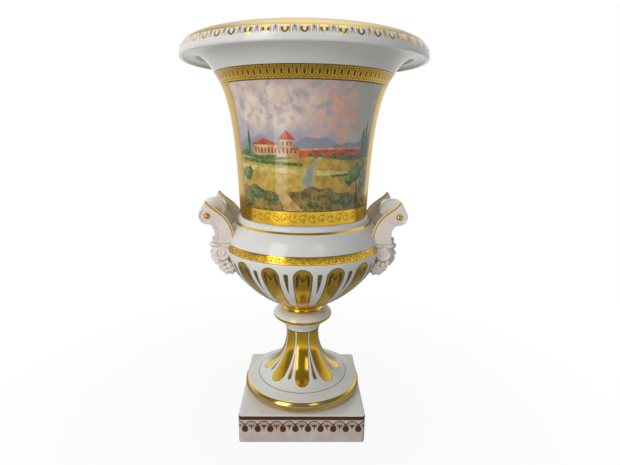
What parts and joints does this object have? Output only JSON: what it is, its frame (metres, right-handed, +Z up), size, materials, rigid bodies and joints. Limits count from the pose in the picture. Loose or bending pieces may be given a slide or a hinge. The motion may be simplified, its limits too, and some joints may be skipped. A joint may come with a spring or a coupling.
{
  "type": "krater vase",
  "caption": "Gilded porcelain krater vase: flared bell with a rolled lip, round bowl with two scroll handles over horned masks, trumpet pedestal with a knop, square plinth.",
  "frame": {"origin": "centre of the plinth's underside", "axes": "+Z up along the vase's axis, +X through one handle, -Y towards the painted panel's face"},
  "size_m": [0.246, 0.246, 0.4114],
  "materials": {
    "porcelain": "white porcelain under clear glaze, with burnished gilding",
    "biscuit": "unglazed biscuit porcelain",
    "gilding": "burnished gilding on porcelain buttons",
    "cork": "cork sheet",
    "rubber": "moulded rubber",
    "zinc_steel": "zinc plated"
  },
  "bodies": {
    "root": {"plinth": "porcelain", "foot_bedding_ring": "cork", "pedestal_foot": "porcelain", "knop_bedding_ring": "cork", "bowl": "porcelain", "bell_bedding_ring": "cork", "bell": "porcelain", "tie_rod": "zinc_steel", "upper_seal": "rubber", "upper_washer": "zinc_steel", "upper_nut": "zinc_steel", "lower_seal": "rubber", "lower_washer": "zinc_steel", "lower_nut": "zinc_steel", "handle_right": "porcelain", "handle_left": "porcelain", "mask_right": "biscuit", "mask_left": "biscuit", "boss_right_front": "gilding", "boss_right_back": "gilding", "boss_left_front": "gilding", "boss_left_back": "gilding"}
  },
  "joints": []
}
